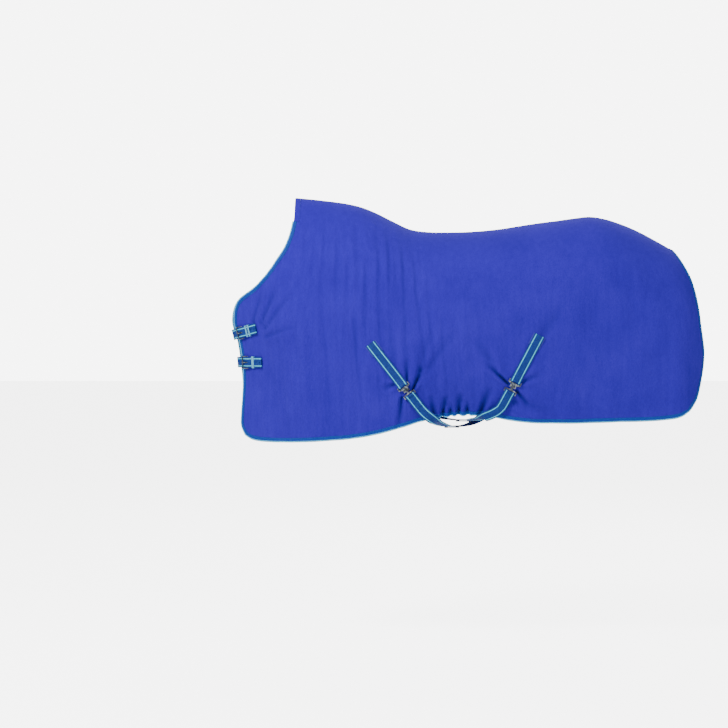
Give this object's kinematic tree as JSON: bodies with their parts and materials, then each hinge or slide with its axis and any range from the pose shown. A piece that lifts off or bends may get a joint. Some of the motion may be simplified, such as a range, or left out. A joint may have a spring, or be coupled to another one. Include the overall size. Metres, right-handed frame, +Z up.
{
  "type": "horse rug",
  "caption": "Light fleece horse rug with bound edge, two buckled chest straps and crossed belly surcingles with T-hook clasps.",
  "frame": {"origin": "on the middle plane, on top of the back seam at the withers", "axes": "+X from the withers towards the tail, -Y the horse's left (near) side with the buckles, +Z up"},
  "size_m": [1.7742, 0.6188, 0.922],
  "materials": {
    "fleece": "matt brushed fleece",
    "binding": "woven tape",
    "piping": "woven cord",
    "webbing": "flat woven webbing with two light stripes",
    "keeper": "woven elastic",
    "metal": "dark antique nickel"
  },
  "bodies": {
    "rug": {"back_seam_tape": "binding", "front_hook_eye": "metal", "front_long_strap": "webbing", "front_long_strap_patch": "binding", "front_short_strap": "webbing", "front_short_strap_patch": "binding", "left_body_panel": "fleece", "left_edge_binding": "binding", "left_edge_piping": "piping", "lower_chape": "webbing", "lower_chest_strap": "webbing", "lower_chest_strap_patch": "binding", "rear_hook_eye": "metal", "rear_long_strap": "webbing", "rear_long_strap_patch": "binding", "rear_short_strap": "webbing", "rear_short_strap_patch": "binding", "right_body_panel": "fleece", "right_edge_binding": "binding", "right_edge_piping": "piping", "upper_chape": "webbing", "upper_chest_strap": "webbing", "upper_chest_strap_patch": "binding", "withers_pad": "fleece"},
    "upper_buckle": {"upper_buckle_frame": "metal"},
    "upper_prong": {"upper_buckle_prong": "metal"},
    "lower_buckle": {"lower_buckle_frame": "metal"},
    "lower_prong": {"lower_buckle_prong": "metal"},
    "upper_keeper_front": {"upper_keeper_front": "keeper"},
    "upper_keeper_rear": {"upper_keeper_rear": "keeper"},
    "lower_keeper": {"lower_keeper": "keeper"},
    "front_hook": {"front_t_hook": "metal", "front_hook_loop": "webbing"},
    "front_slider": {"front_slider": "metal"},
    "rear_hook": {"rear_t_hook": "metal", "rear_hook_loop": "webbing"},
    "rear_slider": {"rear_slider": "metal"}
  },
  "joints": [
    {"name": "upper_buckle_swing", "type": "hinge", "parent": "rug", "child": "upper_buckle", "pos_m": [-0.20027, -0.06178, -0.50935], "axis": [-0.2425, 0.0174, 0.97], "range_deg": [0, 12]},
    {"name": "upper_prong_lift", "type": "hinge", "parent": "upper_buckle", "child": "upper_prong", "pos_m": [-0.20027, -0.06178, -0.50935], "axis": [-0.2425, 0.0174, 0.97], "range_deg": [0, 55]},
    {"name": "lower_buckle_swing", "type": "hinge", "parent": "rug", "child": "lower_buckle", "pos_m": [-0.1806, -0.06181, -0.62295], "axis": [-0.0521, -0.0349, 0.998], "range_deg": [0, 12]},
    {"name": "lower_prong_lift", "type": "hinge", "parent": "lower_buckle", "child": "lower_prong", "pos_m": [-0.1806, -0.06181, -0.62295], "axis": [-0.0521, -0.0349, 0.998], "range_deg": [0, 55]},
    {"name": "upper_keeper_front_slide", "type": "slide", "parent": "rug", "child": "upper_keeper_front", "axis": [0.6905, -0.6984, 0.1885], "range_m": [-0.0015, 0.0025]},
    {"name": "upper_keeper_rear_slide", "type": "slide", "parent": "rug", "child": "upper_keeper_rear", "axis": [0.6927, -0.6959, 0.1893], "range_m": [-0.0025, 0.0055]},
    {"name": "lower_keeper_slide", "type": "slide", "parent": "rug", "child": "lower_keeper", "axis": [0.7169, -0.697, 0.0135], "range_m": [-0.0045, 0.011]},
    {"name": "front_hook_swivel", "type": "hinge", "parent": "rug", "child": "front_hook", "pos_m": [0.41196, -0.2852, -0.71708], "axis": [-0.0484, -0.9928, -0.1094], "range_deg": [-15, 15], "stiffness_Nm_per_rad": 1.5},
    {"name": "front_slider_slide", "type": "slide", "parent": "rug", "child": "front_slider", "axis": [0.3835, 0.9212, -0.0656], "range_m": [-0.012, 0.012]},
    {"name": "rear_hook_swivel", "type": "hinge", "parent": "rug", "child": "rear_hook", "pos_m": [0.80684, -0.29687, -0.70298], "axis": [-0.004, -0.9943, -0.1063], "range_deg": [-15, 15], "stiffness_Nm_per_rad": 1.5},
    {"name": "rear_slider_slide", "type": "slide", "parent": "rug", "child": "rear_slider", "axis": [-0.3459, 0.9375, -0.039], "range_m": [-0.012, 0.012]}
  ]
}
